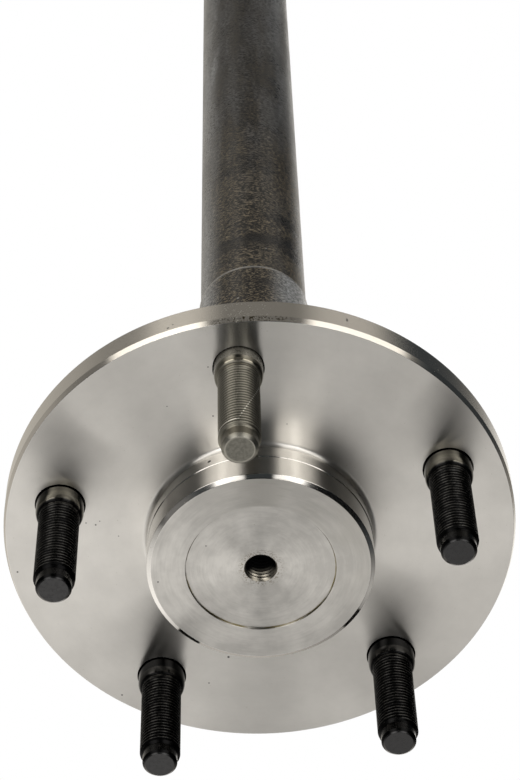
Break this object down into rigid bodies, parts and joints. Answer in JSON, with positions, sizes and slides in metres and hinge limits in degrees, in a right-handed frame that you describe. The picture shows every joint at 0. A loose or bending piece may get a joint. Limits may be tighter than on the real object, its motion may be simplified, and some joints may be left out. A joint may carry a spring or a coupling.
{
  "type": "axle shaft",
  "caption": "Flanged rear axle shaft: a forged bar, splined and grooved for a clip at one end, with a wheel flange, pilot boss, tapped centre hole and pressed-in wheel studs at the other.",
  "frame": {"origin": "on the shaft's axis, in the plane of the stud tips that the part stands on", "axes": "+Z along the shaft from the wheel side to the splined end, -Y towards the first stud"},
  "size_m": [0.1768, 0.1768, 0.948],
  "materials": {
    "axle_steel": "fine-turned bright flange, dark forge scale on the bar, ground journal and cut splines",
    "stud_steel": "black oxide with bright thread crests"
  },
  "bodies": {
    "root": {"axle_shaft": "axle_steel", "wheel_stud_1": "stud_steel", "wheel_stud_2": "stud_steel", "wheel_stud_3": "stud_steel", "wheel_stud_4": "stud_steel", "wheel_stud_5": "stud_steel"}
  },
  "joints": []
}
